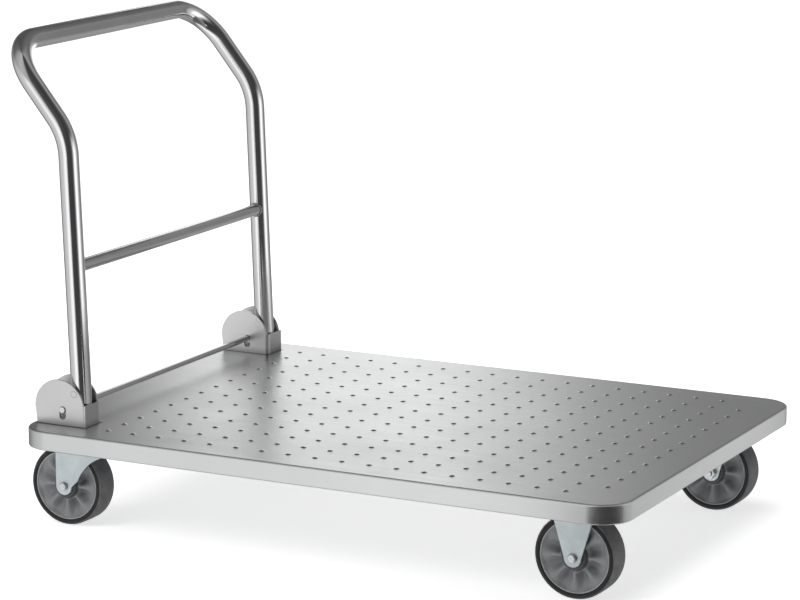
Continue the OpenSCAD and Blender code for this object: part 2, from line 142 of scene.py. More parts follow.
class Shader:
    """One procedural material, with short calls for the nodes that it is made of."""

    def __init__(self, name, colour, metallic=0.0, roughness=0.5, **sockets):
        self.material = bpy.data.materials.new(name)
        self.material.use_nodes = True
        self.tree = self.material.node_tree
        self.bsdf = self.tree.nodes["Principled BSDF"]
        self.set("Base Color", (*colour, 1))
        self.set("Metallic", metallic)
        self.set("Roughness", roughness)
        for socket, value in sockets.items():
            self.set(socket.replace("_", " "), value)
        self.coords = self.add("ShaderNodeTexCoord")

    def set(self, socket, value):
        self.bsdf.inputs[socket].default_value = value

    def add(self, kind, inputs=(), **settings):
        return add_node(self.tree, kind, inputs, **settings)

    def drive(self, socket, value):
        self.tree.links.new(value, self.bsdf.inputs[socket])

    def maths(self, operation, a, b=0.0):
        return self.add("ShaderNodeMath", {0: a, 1: b}, operation=operation).outputs[0]

    def stretched(self, scale, source=None):
        """Object coordinates, stretched by a scale for each axis."""
        source = source or self.coords.outputs["Object"]
        return self.add("ShaderNodeMapping", {"Vector": source, "Scale": scale}).outputs[0]

    def noise(self, vector, scale=1.0, detail=3.0, roughness=0.55):
        inputs = {"Vector": vector, "Scale": scale, "Detail": detail, "Roughness": roughness}
        return self.add("ShaderNodeTexNoise", inputs).outputs["Fac"]

    def spread(self, value, low, high, from_low=0.3, from_high=0.7):
        """A noise value mapped to the range from low to high."""
        inputs = {"Value": value, "From Min": from_low, "From Max": from_high,
                  "To Min": low, "To Max": high}
        return self.add("ShaderNodeMapRange", inputs).outputs["Result"]

    def tone(self, factor, dark, light):
        """A colour between dark and light."""
        node = self.add("ShaderNodeMix", data_type="RGBA")
        self.tree.links.new(factor, node.inputs["Factor"])
        node.inputs["A"].default_value = (*dark, 1)
        node.inputs["B"].default_value = (*light, 1)
        return node.outputs["Result"]

    def bump(self, height, distance, strength=1.0, below=None):
        inputs = {"Height": height, "Distance": distance, "Strength": strength}
        if below is not None:
            inputs["Normal"] = below
        normal = self.add("ShaderNodeBump", inputs).outputs["Normal"]
        self.drive("Normal", normal)
        return normal


def shade(colour, factor):
    return tuple(c * factor for c in colour)


# ---------------------------------------------------------------- materials


def brushed_sheet(name, colour, rough=(0.26, 0.40), depth=2.5e-5):
    """Satin sheet: fine scratches along X, or along Y on faces that look along X."""
    s = Shader(name, colour, metallic=1.0, roughness=sum(rough) / 2)
    normal = s.add("ShaderNodeSeparateXYZ", {0: s.coords.outputs["Normal"]})
    faces_x = s.maths("GREATER_THAN", s.maths("ABSOLUTE", normal.outputs["X"]), 0.75)
    along_x, along_y = s.stretched((5, 900, 900)), s.stretched((900, 5, 900))
    grain_place = s.add("ShaderNodeMix", data_type="VECTOR")
    for socket, value in (("Factor", faces_x), ("A", along_x), ("B", along_y)):
        s.tree.links.new(value, grain_place.inputs[socket])
    grain = s.noise(grain_place.outputs["Result"], detail=4, roughness=0.65)
    cloud = s.noise(s.coords.outputs["Object"], scale=5.5, detail=3)
    both = s.maths("ADD", s.maths("MULTIPLY", grain, 0.6), s.maths("MULTIPLY", cloud, 0.4))
    s.drive("Roughness", s.spread(both, *rough, 0.35, 0.65))
    s.drive("Base Color", s.tone(s.spread(cloud, 0, 1), shade(colour, 0.95), shade(colour, 1.03)))
    s.bump(grain, depth)
    return s


def darken(s, amount, reach, distance):
    """Darkens a sheet's colour where a distance is small: painted shade that stands for a contact shadow
    round a joint.
    """
    share = s.add("ShaderNodeMapRange", {"Value": distance, "From Min": 0.0, "From Max": reach,
                                         "To Min": amount, "To Max": 1.0},
                  interpolation_type="SMOOTHSTEP").outputs["Result"]
    plain = s.bsdf.inputs["Base Color"].links[0].from_socket
    dimmed = s.add("ShaderNodeVectorMath", {0: plain, "Scale": share}, operation="SCALE")
    s.drive("Base Color", dimmed.outputs["Vector"])


def beyond(s, value, middle, half):
    """How far a coordinate lies outside a span."""
    off = s.maths("ABSOLUTE", s.maths("SUBTRACT", value, middle))
    return s.maths("SUBTRACT", off, half)


def deck_with_painted_shade(name, colour, rough):
    """The deck's sheet: a line of painted shade round the bracket feet, and dimples worn smoother."""
    s = brushed_sheet(name, colour, rough)
    lo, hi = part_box("bracket_shell_left")
    foot_back, foot_front = lo.x + 0.0035, hi.x - 0.0005
    place = s.add("ShaderNodeSeparateXYZ", {0: s.coords.outputs["Object"]}).outputs
    outside_x = beyond(s, place["X"], (foot_back + foot_front) / 2, (foot_front - foot_back) / 2)
    outside_y = beyond(s, s.maths("ABSOLUTE", place["Y"]), tube_y,
                       (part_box("bracket_plate_left")[1].y - lo.y) / 2)
    # Painted shade: a dark contact line on the sheet round each bracket's foot.
    darken(s, 0.30, 0.006, s.maths("MAXIMUM", outside_x, outside_y))
    worn = s.spread(place["Z"], 1.0, 0.45, deck_z + 0.0001, deck_z + 0.0007)
    rough_sheet = s.bsdf.inputs["Roughness"].links[0].from_socket
    s.drive("Roughness", s.maths("MULTIPLY", rough_sheet, worn))
    return s.material


def bracket_with_painted_shade(name, colour, rough):
    """The brackets' sheet, with painted shade that darkens it towards the foot."""
    s = brushed_sheet(name, colour, rough)
    place = s.add("ShaderNodeSeparateXYZ", {0: s.coords.outputs["Object"]}).outputs
    # Painted shade: the colour darkens over the lowest 14 mm of the brackets.
    darken(s, 0.62, 0.014, s.maths("SUBTRACT", place["Z"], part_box("bracket_plate_left")[0].z))
    return s.material


def polished_tube(name, colour):
    """Polished stainless tube with faint hazing and hairline polishing marks."""
    s = Shader(name, colour, metallic=1.0, roughness=0.12)
    haze = s.noise(s.coords.outputs["Object"], scale=22, detail=5)
    marks = s.noise(s.stretched((160, 160, 700)), detail=3)
    s.drive("Roughness", s.spread(haze, 0.085, 0.17))
    s.drive("Base Color", s.tone(s.spread(haze, 0, 1), shade(colour, 0.96), colour))
    s.bump(marks, 4e-6)
    return s.material


def zinc_plate(name, colour, rough=(0.30, 0.46), grain=260.0):
    """Zinc plating: a soft mottle in tone and gloss over a barely uneven surface."""
    s = Shader(name, colour, metallic=0.85, roughness=sum(rough) / 2)
    mottle = s.noise(s.coords.outputs["Object"], scale=grain, detail=4, roughness=0.6)
    cloud = s.noise(s.coords.outputs["Object"], scale=38, detail=3)
    s.drive("Roughness", s.spread(mottle, *rough))
    s.drive("Base Color", s.tone(s.spread(cloud, 0, 1), shade(colour, 0.88), shade(colour, 1.04)))
    s.bump(mottle, 3e-5)
    return s.material


def turned_steel(name, colour, rough):
    """Plain bright steel with fine tool marks."""
    s = Shader(name, colour, metallic=1.0, roughness=rough)
    marks = s.noise(s.coords.outputs["Object"], scale=900, detail=3)
    s.drive("Roughness", s.spread(marks, rough * 0.8, rough * 1.25))
    s.drive("Base Color", s.tone(s.spread(marks, 0, 1), shade(colour, 0.9), colour))
    s.bump(marks, 1e-5)
    return s.material


def rubber(name, colour, dusty):
    """Matt rubber: fine pores, and dust that greys it by patches."""
    s = Shader(name, colour, roughness=0.6, Specular_IOR_Level=0.35)
    pores = s.noise(s.coords.outputs["Object"], scale=1500, detail=3)
    patches = s.noise(s.coords.outputs["Object"], scale=45, detail=5, roughness=0.65)
    s.drive("Base Color", s.tone(s.spread(patches, 0, 1), colour, dusty))
    s.drive("Roughness", s.spread(patches, 0.48, 0.72))
    s.bump(pores, 6e-5)
    return s.material


def moulded_plastic(name, colour):
    """Moulded plastic with a fine spark-eroded texture and a soft sheen."""
    s = Shader(name, colour, roughness=0.38, Specular_IOR_Level=0.5)
    texture = s.noise(s.coords.outputs["Object"], scale=1100, detail=2)
    cloud = s.noise(s.coords.outputs["Object"], scale=60, detail=4)
    s.drive("Base Color", s.tone(s.spread(cloud, 0, 1), shade(colour, 0.86), shade(colour, 1.1)))
    s.drive("Roughness", s.spread(cloud, 0.32, 0.46))
    s.bump(texture, 4e-5)
    return s.material


deck_steel = deck_with_painted_shade("satin_stainless_deck", (0.74, 0.745, 0.75), (0.27, 0.40))
bracket_steel = bracket_with_painted_shade("satin_stainless_bracket", (0.72, 0.72, 0.72), (0.30, 0.42))
frame_steel = brushed_sheet("galvanised_frame", (0.56, 0.58, 0.59), (0.38, 0.55), 4e-5).material
tube_steel = polished_tube("polished_stainless_tube", (0.80, 0.80, 0.81))
weld_steel = turned_steel("weld_bead", (0.58, 0.57, 0.56), 0.34)
caster_zinc = zinc_plate("blue_zinc_caster", (0.60, 0.66, 0.68))
bolt_zinc = zinc_plate("zinc_fastener", (0.70, 0.71, 0.72), (0.22, 0.36), 500.0)
bright_steel = turned_steel("bright_steel", (0.66, 0.66, 0.67), 0.24)
bronze = turned_steel("sintered_bronze", (0.24, 0.19, 0.14), 0.5)
tyre_side = rubber("rubber_sidewall", (0.012, 0.012, 0.013), (0.030, 0.030, 0.032))
tyre_tread = rubber("rubber_tread", (0.075, 0.075, 0.078), (0.145, 0.145, 0.148))
hub_grey = moulded_plastic("hub_plastic", (0.20, 0.205, 0.21))
rim_grey = moulded_plastic("rim_plastic", (0.36, 0.365, 0.37))
# Dark plastic that is painted shade in the hub's bore and round its boss
hub_painted_shade = moulded_plastic("hub_boss_painted_shade", (0.06, 0.06, 0.062))

SLOT_MATERIALS = {
    "deck_steel": deck_steel,
    "frame_steel": frame_steel,
    "bracket_steel": bracket_steel,
    "tube_steel": tube_steel,
    "caster_zinc": caster_zinc,
    "bolt_zinc": bolt_zinc,
    "bright_steel": bright_steel,
    "hub_plastic": hub_grey,
    "tyre_rubber": tyre_side,
    "bush_bronze": bronze,
}


# ---------------------------------------------------------------- mesh helpers


def piece(name, points, faces, materials, body, replaces=(), angle=40.0, at=(0, 0, 0)):
    """A mesh object, shaded smooth up to an angle, that rides on a body and stands for nodes."""
    mesh = bpy.data.meshes.new(name)
    mesh.from_pydata([tuple(map(float, p)) for p in points], [], [tuple(map(int, f)) for f in faces])
    return finished(name, mesh, materials, body, replaces, angle, at)


def finished(name, mesh, materials, body, replaces=(), angle=40.0, at=(0, 0, 0)):
    bm = bmesh.new()
    bm.from_mesh(mesh)
    bmesh.ops.recalc_face_normals(bm, faces=bm.faces)
    bm.to_mesh(mesh)
    bm.free()
    for material in materials:
        mesh.materials.append(material)
    mesh.shade_smooth()
    mesh.set_sharp_from_angle(angle=math.radians(angle))
    obj = bpy.data.objects.new(name, mesh)
    obj.location = at
    bpy.context.scene.collection.objects.link(obj)
    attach(obj, body)
    if replaces:
        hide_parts(*replaces)
    return obj


def bridged(rings, closed=False):
    """Quads between rings of equal length; closed joins the last ring to the first."""
    n = len(rings[0])
    faces = []
    for k in range(len(rings) if closed else len(rings) - 1):
        a, b = k * n, (k + 1) % len(rings) * n
        faces += [(a + i, a + (i + 1) % n, b + (i + 1) % n, b + i) for i in range(n)]
    return faces


def arc(centre, radius, start, end, steps):
    """Points of a plane arc, angles in degrees."""
    angles = np.radians(np.linspace(start, end, steps + 1))
    return [(centre[0] + radius * math.cos(a), centre[1] + radius * math.sin(a)) for a in angles]


def tube_rings(path, radius, sides):
    """Rings of points round a smooth path, kept from twisting."""
    path = np.asarray(path, float)
    tangents = np.gradient(path, axis=0)
    tangents /= np.linalg.norm(tangents, axis=1)[:, None]
    across = np.cross(tangents[0], (0.0, 1.0, 0.0))
    if np.linalg.norm(across) < 0.1:
        across = np.cross(tangents[0], (1.0, 0.0, 0.0))
    angles = np.linspace(0, 2 * math.pi, sides, endpoint=False)
    rings = []
    for point, tangent in zip(path, tangents):
        across = across - tangent * across.dot(tangent)
        across /= np.linalg.norm(across)
        up = np.cross(tangent, across)
        rings.append([point + radius * (math.cos(a) * across + math.sin(a) * up) for a in angles])
    return rings


# ---------------------------------------------------------------- deck


def outline(inset, z, per_corner=14):
    """Rounded rectangle at a distance inside the deck's outline."""
    x0, x1 = pan_lo.x + DECK_R, pan_hi.x - DECK_R
    y0, y1 = pan_lo.y + DECK_R, pan_hi.y - DECK_R
    radius = DECK_R - inset
    points = []
    for centre, start in (((x1, y0), -90), ((x1, y1), 0), ((x0, y1), 90), ((x0, y0), 180)):
        points += arc(centre, radius, start, start + 90, per_corner)
    return [(x, y, z) for x, y in points]


def pan_profile():
    """(inset, height) pairs from the top sheet round the skirt and its lip to the underside."""
    foot = pan_lo.z
    top_fold, lip_fold = (FOLD_R, deck_z - FOLD_R), (LIP_R, foot + LIP_R)
    inner_r, lip_inner_r = FOLD_R - SHEET_T, LIP_R - SHEET_T
    outer = arc(top_fold, FOLD_R, 90, 180, 6) + arc(lip_fold, LIP_R, 180, 270, 5)
    lip = [(LIP_W - 0.0003, foot), (LIP_W, foot + 0.0004), (LIP_W, foot + SHEET_T - 0.0004),
           (LIP_W - 0.0003, foot + SHEET_T)]
    inner = arc(lip_fold, lip_inner_r, 270, 180, 3) + arc(top_fold, inner_r, 180, 90, 3)
    return outer + lip + inner


def dimple_places():
    x_last = pan_hi.x - DIMPLE_FROM_FRONT
    for i in range(DIMPLE_COLUMNS):
        for j in range(DIMPLE_ROWS):
            at_front_corner = i == 0 and j in (0, DIMPLE_ROWS - 1)
            if not at_front_corner:
                y = (j - (DIMPLE_ROWS - 1) / 2) * DIMPLE_PITCH_Y
                yield x_last - i * DIMPLE_PITCH_X, y


def add_sheet_face(bm, rim, z, radius, sides, shares):
    """Fills a rim of vertices with a flat sheet at z that has a raised dimple at each place.

    A dimple starts flat at its foot, is steepest half way and has a low round crown.
    """
    edges = [bm.edges.get((a, b)) or bm.edges.new((a, b)) for a, b in zip(rim, rim[1:] + rim[:1])]
    angles = np.linspace(0, 2 * math.pi, sides, endpoint=False)
    for x, y in dimple_places():
        rings = []
        for share in shares:
            h = z + DIMPLE_H * (1 - share ** 2.4) ** 1.35
            rings.append([bm.verts.new((x + share * radius * math.cos(a),
                                        y + share * radius * math.sin(a), h)) for a in angles])
        for a, b in zip(rings, rings[1:]):
            for i in range(sides):
                bm.faces.new((a[i], a[(i + 1) % sides], b[(i + 1) % sides], b[i]))
        crown = bm.verts.new((x, y, z + DIMPLE_H))
        for i in range(sides):
            bm.faces.new((rings[-1][i], rings[-1][(i + 1) % sides], crown))
        edges += [bm.edges.get((a, b)) for a, b in zip(rings[0], rings[0][1:] + rings[0][:1])]
    bmesh.ops.triangle_fill(bm, use_beauty=True, edges=edges)


def build_deck():
    bm = bmesh.new()
    rings = [[bm.verts.new(p) for p in outline(inset, z)] for inset, z in pan_profile()]
    n = len(rings[0])
    for a, b in zip(rings, rings[1:]):
        for i in range(n):
            bm.faces.new((a[i], a[(i + 1) % n], b[(i + 1) % n], b[i]))
    add_sheet_face(bm, rings[0], deck_z, DIMPLE_R, 24, FINE_RINGS)
    add_sheet_face(bm, rings[-1], deck_z - SHEET_T, UNDER_DIMPLE_R, 12, COARSE_RINGS)
    mesh = bpy.data.meshes.new("deck_sheet")
    bm.to_mesh(mesh)
    bm.free()
    deck = finished("deck_sheet", mesh, [deck_steel], "deck", ["deck_pan"], 50)
    normals = deck.modifiers.new("normals", "WEIGHTED_NORMAL")
    normals.keep_sharp = True
    normals.weight = 50
    return deck


# ---------------------------------------------------------------- handle


def on_handle(points):
    """Points of the handle's own frame, Z along the uprights, put in the part's frame."""
    turn = Matrix.Rotation(-LEAN, 3, "Y")
    return [pivot + turn @ Vector(tuple(map(float, p))) for p in points]


def raked(y, s):
    """A point of the raked upper part, s along it from the end of the lower bend."""
    return (BEND_R * (math.cos(TURN) - 1) - s * math.sin(TURN), y,
            UPRIGHT_L + BEND_R * math.sin(TURN) + s * math.cos(TURN))


def handle_path():
    """Centre line of the handle from the right foot over the grip to the left foot."""
    half = [(0, -tube_y, z) for z in np.linspace(-STUB, UPRIGHT_L, 9)[:-1]]
    for a in np.linspace(0, TURN, 13)[:-1]:
        half.append((BEND_R * (math.cos(a) - 1), -tube_y, UPRIGHT_L + BEND_R * math.sin(a)))
    half += [raked(-tube_y, s) for s in (0, RAKED_L / 2)]
    for a in np.linspace(0, math.pi / 2, 23):
        half.append(raked(CORNER_R * (1 - math.cos(a)) - tube_y, RAKED_L + CORNER_R * math.sin(a)))
    half += [raked(y, RAKED_L + CORNER_R) for y in (-0.12, -0.06)]
    grip = [raked(0, RAKED_L + CORNER_R)]
    return half + grip + [(x, -y, z) for x, y, z in reversed(half)]


def bush_bores():
    """Cutter for the bores across both uprights that the pivot bushes sit in."""
    mesh = bpy.data.meshes.new("bush_bores")
    bm = bmesh.new()
    bmesh.ops.create_cone(
        bm, cap_ends=True, segments=40, radius1=BUSH_BORE_R, radius2=BUSH_BORE_R,
        depth=3 * tube_y, matrix=Matrix.Translation(pivot) @ Matrix.Rotation(math.pi / 2, 4, "X"))
    bm.to_mesh(mesh)
    bm.free()
    cutter = bpy.data.objects.new("bush_bores", mesh)
    bpy.context.scene.collection.objects.link(cutter)
    return cutter


def build_handle():
    sides = 56
    path = handle_path()
    outer = tube_rings(path, TUBE_R, sides)
    inner = tube_rings(path, TUBE_R - TUBE_T, sides)[::-1]
    rings = outer + inner
    points = on_handle([p for ring in rings for p in ring])
    mesh = bpy.data.meshes.new("handle_bar")
    mesh.from_pydata(points, [], bridged(rings, closed=True))
    solid = bpy.data.objects.new("handle_bar_solid", mesh)
    bpy.context.scene.collection.objects.link(solid)
    cutter = bush_bores()
    cut = solid.modifiers.new("bores", "BOOLEAN")
    cut.object, cut.operation, cut.solver = cutter, "DIFFERENCE", "EXACT"
    bored = bpy.data.meshes.new_from_object(
        solid.evaluated_get(bpy.context.evaluated_depsgraph_get()))
    for spare in (solid, cutter):
        bpy.data.objects.remove(spare)
    bored.materials.clear()
    return finished("handle_bar", bored, [tube_steel], "handle", ["handle_tube"], 50)


def saddle(angle, grow=0.0):
    """Point where a tube of the brace's radius, plus grow, meets the side of the left upright."""
    x, z = (BRACE_R + grow) * math.cos(angle), (BRACE_R + grow) * math.sin(angle)
    return x, tube_y - math.sqrt(TUBE_R ** 2 - x * x), BRACE_S + z


def build_brace():
    """Cross brace with its ends cut to the uprights, and a weld bead round each end."""
    angles = np.linspace(0, 2 * math.pi, 48, endpoint=False)
    rings = []
    for wall, flip in ((0.0, 1), (0.0, -1), (-TUBE_T, -1), (-TUBE_T, 1)):
        ends = [saddle(a, wall) for a in angles]
        rings.append([(x, -flip * y, z) for x, y, z in ends])
    points = on_handle([p for ring in rings for p in ring])
    piece("brace_tube", points, bridged(rings, closed=True), [tube_steel], "handle",
          ["cross_brace"], 50)
    for side, flip in (("right", -1), ("left", 1)):
        bead = [[(p.x, flip * p.y, p.z) for p in ring] for ring in weld_bead()]
        points = on_handle([p for ring in bead for p in ring])
        piece(f"brace_weld_{side}", points, bridged(bead, closed=True), [weld_steel], "handle",
              angle=80)


def weld_bead():
    """Rings of a bead round the brace's left end, which swells with each puddle of the weld."""
    puddles, bead_r, swell = 26, 0.0016, 0.00022
    lift = Vector((0, -1, 0))
    rings = []
    for a in np.linspace(0, 2 * math.pi, 144, endpoint=False):
        x, y, z = saddle(a, 0.0006)
        middle = Vector((x, y - 0.0004, z))
        out = Vector((math.cos(a), 0, math.sin(a)))
        radius = bead_r + swell * math.sin(puddles * a)
        rings.append([middle + radius * (math.cos(t) * out + math.sin(t) * lift)
                      for t in np.linspace(0, 2 * math.pi, 12, endpoint=False)])
    return rings


# ---------------------------------------------------------------- wheels


def lathe_y(profile, sides):
    """Rings about the Y axis: profile is a closed list of (radius, y), or y may be a function."""
    angles = np.linspace(0, 2 * math.pi, sides, endpoint=False)
    rings = []
    for radius, y in profile:
        rings.append([(radius * math.cos(a), y(a) if callable(y) else y, radius * math.sin(a))
                      for a in angles])
    return rings


def mirrored(half):
    """A profile drawn for the +Y face, followed by its mirror image back to the start."""
    flipped = [(r, (lambda a, y=y: -y(a)) if callable(y) else -y) for r, y in reversed(half)]
    return half + flipped


def tyre_profile():
    """Half section from the rim seat over the side wall and its step to the crowned tread."""
    side = TYRE_HALF
    return ([(RIM_R, side - 0.0020), (RIM_R + 0.0004, side - 0.0010), (RIM_R + 0.0012, side - 0.0004),
             (WHEEL_R - 0.0060, side), (WHEEL_R - 0.0047, side - 0.0002),
             (WHEEL_R - 0.0044, side - 0.0006), (WHEEL_R - 0.0041, side - 0.0006),
             (WHEEL_R - 0.0038, side - 0.0008)]
            + arc((WHEEL_R - 0.0042, side - 0.0050), 0.0040, 78, 14, 6)
            + [(WHEEL_R - 0.0002, side * 0.5), (WHEEL_R, side * 0.2)])


def smooth(low, high, value):
    t = min(1.0, max(0.0, (value - low) / (high - low)))
    return t * t * (3 - 2 * t)


def pocket_face(radius):
    """Height of the core's face at a radius, as a function of angle: scooped between the ribs."""
    ridge = TYRE_HALF - 0.0030
    floor = ridge - 0.0120 + 0.0095 * smooth(0.026, 0.053, radius)
    in_ring = smooth(0.0205, 0.0265, radius) * (1 - smooth(0.0490, 0.0530, radius))

    def height(angle):
        step = 2 * math.pi / SPOKES
        off = abs((angle + step / 2) % step - step / 2)
        return ridge - (ridge - floor) * in_ring * smooth(0.08, 0.85, 2 * off / step)

    return height


def core_profile():
    """Half section of the wheel core from its bore over the hub and pockets to the rim."""
    face, rim = TYRE_HALF - 0.0030, RIM_R
    radii = np.linspace(HUB_R + 0.0014, rim - 0.0020, 26)
    hub = [(CORE_BORE_R, 0.002), (CORE_BORE_R, HUB_HALF - BEARING_W),
           (BEARING_R, HUB_HALF - BEARING_W), (BEARING_R, HUB_HALF - 0.0005),
           (BEARING_R + 0.0005, HUB_HALF), (HUB_R - 0.0008, HUB_HALF),
           (HUB_R, HUB_HALF - 0.0008), (HUB_R + 0.0003, face + 0.0015), (HUB_R + 0.0008, face + 0.0003)]
    flange = [(rim - 0.0019, face + 0.0003), (rim - 0.0018, face + 0.0011), (rim - 0.0015, face + 0.0016),
              (rim - 0.0005, face + 0.0016), (rim - 0.0001, face + 0.0012), (rim, face + 0.0006),
              (rim, 0.004)]
    return hub + [(r, pocket_face(r)) for r in radii] + flange


def build_wheel(kind, side):
    """Tyre and core of one wheel, in a frame of their own at its axle."""
    body = f"{kind}_wheel_{side}"
    centre = named_joint(f"{body}_spin")["pos_m"]
    rings = lathe_y(mirrored(tyre_profile()), 144)
    tyre = piece(f"{body}_tyre", [p for ring in rings for p in ring], bridged(rings, closed=True),
                 [tyre_side, tyre_tread], body, [f"{kind}_tyre_{side}"], 50, centre)
    for face in tyre.data.polygons:
        if math.hypot(face.center.x, face.center.z) > TREAD_FROM_R:
            face.material_index = 1
    rings = lathe_y(mirrored(core_profile()), SPOKES * 24)
    core = piece(f"{body}_core", [p for ring in rings for p in ring], bridged(rings, closed=True),
                 [hub_grey, rim_grey, hub_painted_shade], body, [f"{kind}_core_{side}"], 50, centre)
    for face in core.data.polygons:
        radius = math.hypot(face.center.x, face.center.z)
        # Faces near the bore take the dark plastic, painted shade round the hub
        face.material_index = 1 if radius > PALE_RIM_FROM_R else 2 if radius < HUB_SHADE_TO_R else 0


def build_wheels():
    for side in SIDES:
        for kind in ("swivel", "rigid"):
            build_wheel(kind, side)


# ---------------------------------------------------------------- latch springs


def build_springs():
    """Coil springs under the latch rod."""
    steps_per_turn, sides = 28, 10
    lo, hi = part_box("latch_springs")
    height = hi.z - lo.z
    rise = (height - 2 * SPRING_WIRE_R) / SPRING_TURNS
    x = (lo.x + hi.x) / 2
    for side, sign in (("right", -1), ("left", 1)):
        y = sign * (max(abs(lo.y), abs(hi.y)) - SPRING_COIL_R - SPRING_WIRE_R)
        path = [(x + SPRING_COIL_R * math.cos(2 * math.pi * t),
                 y + SPRING_COIL_R * math.sin(2 * math.pi * t), lo.z + SPRING_WIRE_R + rise * t)
                for t in np.linspace(0, SPRING_TURNS, SPRING_TURNS * steps_per_turn + 1)]
        rings = tube_rings(path, SPRING_WIRE_R, sides)
        last = sides * (len(rings) - 1)
        ends = [tuple(range(sides)), tuple(last + i for i in range(sides))]
        spring = piece(f"latch_spring_{side}", [p for ring in rings for p in ring],
                       bridged(rings) + ends, [bright_steel], "deck", angle=60)
        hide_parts("latch_springs")
        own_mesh(spring)


# ---------------------------------------------------------------- CAD nodes that stay

# Bevel widths of the CAD nodes, by a word in their names
SOFT_EDGES = {
    "bracket": 0.0007, "fork": 0.0008, "plate": 0.0005, "member": 0.0005, "rail": 0.0005,
    "axle": 0.0006, "nut": 0.0004, "bolt": 0.0004, "rod": 0.0006, "feet": 0.0005,
}


def soften(node):
    """Rounds a CAD node's sharp edges with modifiers, which leave its own mesh as it is."""
    obj = frame["nodes"][node]
    width = next((w for word, w in SOFT_EDGES.items() if word in node), 0.0002)
    weld = obj.modifiers.new("weld", "WELD")
    weld.merge_threshold = 1e-6
    flat = obj.modifiers.new("flat", "DECIMATE")
    flat.decimate_type, flat.angle_limit = "DISSOLVE", math.radians(0.3)
    bevel = obj.modifiers.new("bevel", "BEVEL")
    bevel.width, bevel.segments = width, 2
    bevel.limit_method, bevel.angle_limit = "ANGLE", math.radians(40)
    normals = obj.modifiers.new("normals", "WEIGHTED_NORMAL")
    normals.keep_sharp = True


def dress_cad_nodes():
    """Gives each CAD node the material of its slot, which its packed material is named after."""
    for node, obj in frame["nodes"].items():
        if obj.hide_render:
            continue
        slot = obj.data.materials[0].name.split(".")[0]
        obj.data.materials.clear()
        obj.data.materials.append(SLOT_MATERIALS[slot])
        soften(node)


# ---------------------------------------------------------------- floor, light and camera


def fade(tree, position, stops):
    """Grey levels along a position from 0 to 1, blended softly from stop to stop."""
    ramp = add_node(tree, "ShaderNodeValToRGB", {"Fac": position})
    elements = ramp.color_ramp.elements
    ramp.color_ramp.interpolation = "EASE"
    for k, (place, value) in enumerate(stops):
        element = elements[k] if k < 2 else elements.new(place)
        element.position = place
        element.color = (value, value, value, 1)
    return ramp.outputs["Color"]


def card(name, low, high, stops):
    """An upright glowing card between two corners that only reflections see.

    The stops give its brightness along its width, from the low corner (0) to the high one (1).
    """
    corners = [(low[0], low[1], low[2]), (high[0], high[1], low[2]),
               (high[0], high[1], high[2]), (low[0], low[1], high[2])]
    mesh = bpy.data.meshes.new(name)
    mesh.from_pydata(corners, [], [(0, 1, 2, 3)])
    material = bpy.data.materials.new(name)
    material.use_nodes = True
    tree = material.node_tree
    tree.nodes.clear()
    place = add_node(tree, "ShaderNodeTexCoord").outputs["Generated"]
    split = add_node(tree, "ShaderNodeSeparateXYZ", {0: place})
    along = "X" if abs(high[0] - low[0]) > abs(high[1] - low[1]) else "Y"
    glow = add_node(tree, "ShaderNodeEmission", {"Color": fade(tree, split.outputs[along], stops)})
    add_node(tree, "ShaderNodeOutputMaterial", {"Surface": glow.outputs[0]})
    mesh.materials.append(material)
    obj = bpy.data.objects.new(name, mesh)
    bpy.context.scene.collection.objects.link(obj)
    obj.visible_camera = False
    obj.visible_diffuse = False
    obj.visible_shadow = False
    obj.visible_transmission = False


CAMERA_AT = Vector((2.240, -4.363, 1.376))
CAMERA_RIGHT = Vector((0.8904, 0.4552, 0.0)).normalized()
CAMERA_BACK = Vector((0.4455, -0.8715, 0.2050)).normalized()
LENS = 143.7


def build_camera():
    data = bpy.data.cameras.new("camera")
    data.lens = LENS
    data.sensor_width = 36.0
    data.shift_y = -0.001
    data.clip_end = 100
    camera = bpy.data.objects.new("camera", data)
    up = CAMERA_BACK.cross(CAMERA_RIGHT)
    axes = Matrix((CAMERA_RIGHT, up, CAMERA_BACK)).transposed().to_4x4()
    camera.matrix_world = Matrix.Translation(CAMERA_AT) @ axes
    bpy.context.scene.collection.objects.link(camera)
    bpy.context.scene.camera = camera


def area_light(name, at, towards, size, watts):
    """Soft light that neither the camera nor reflections see."""
    data = bpy.data.lights.new(name, "AREA")
    data.shape = "RECTANGLE"
    data.size, data.size_y = size
    data.energy = watts
    light = bpy.data.objects.new(name, data)
    light.location = at
    light.rotation_euler = (Vector(at) - Vector(towards)).to_track_quat("Z", "Y").to_euler()
    light.visible_camera = False
    light.visible_glossy = False
    bpy.context.scene.collection.objects.link(light)
    return light


def build_floor():
    """Pale floor that glows up to plain white at a distance from the cart."""
    mesh = bpy.data.meshes.new("floor")
    half = 30.0
    corners = [(-half, -half, 0), (half, -half, 0), (half, half, 0), (-half, half, 0)]
    mesh.from_pydata(corners, [], [(0, 1, 2, 3)])
    material = bpy.data.materials.new("pale_floor")
    material.use_nodes = True
    tree = material.node_tree
    bsdf = tree.nodes["Principled BSDF"]
    for socket, value in (("Base Color", (0.80, 0.80, 0.80, 1)), ("Roughness", 0.9),
                          ("Specular IOR Level", 0.1), ("Emission Color", (1, 1, 1, 1))):
        bsdf.inputs[socket].default_value = value
    place = add_node(tree, "ShaderNodeTexCoord").outputs["Object"]
    away = add_node(tree, "ShaderNodeVectorMath", {0: place}, operation="LENGTH").outputs["Value"]
    glow = add_node(tree, "ShaderNodeMapRange", {"Value": away, "From Min": 0.5, "From Max": 1.6,
                                                 "To Min": 0.66, "To Max": 1.0},
                    interpolation_type="SMOOTHSTEP").outputs["Result"]
    tree.links.new(glow, bsdf.inputs["Emission Strength"])
    mesh.materials.append(material)
    floor = bpy.data.objects.new("floor", mesh)
    bpy.context.scene.collection.objects.link(floor)
    floor.visible_glossy = False


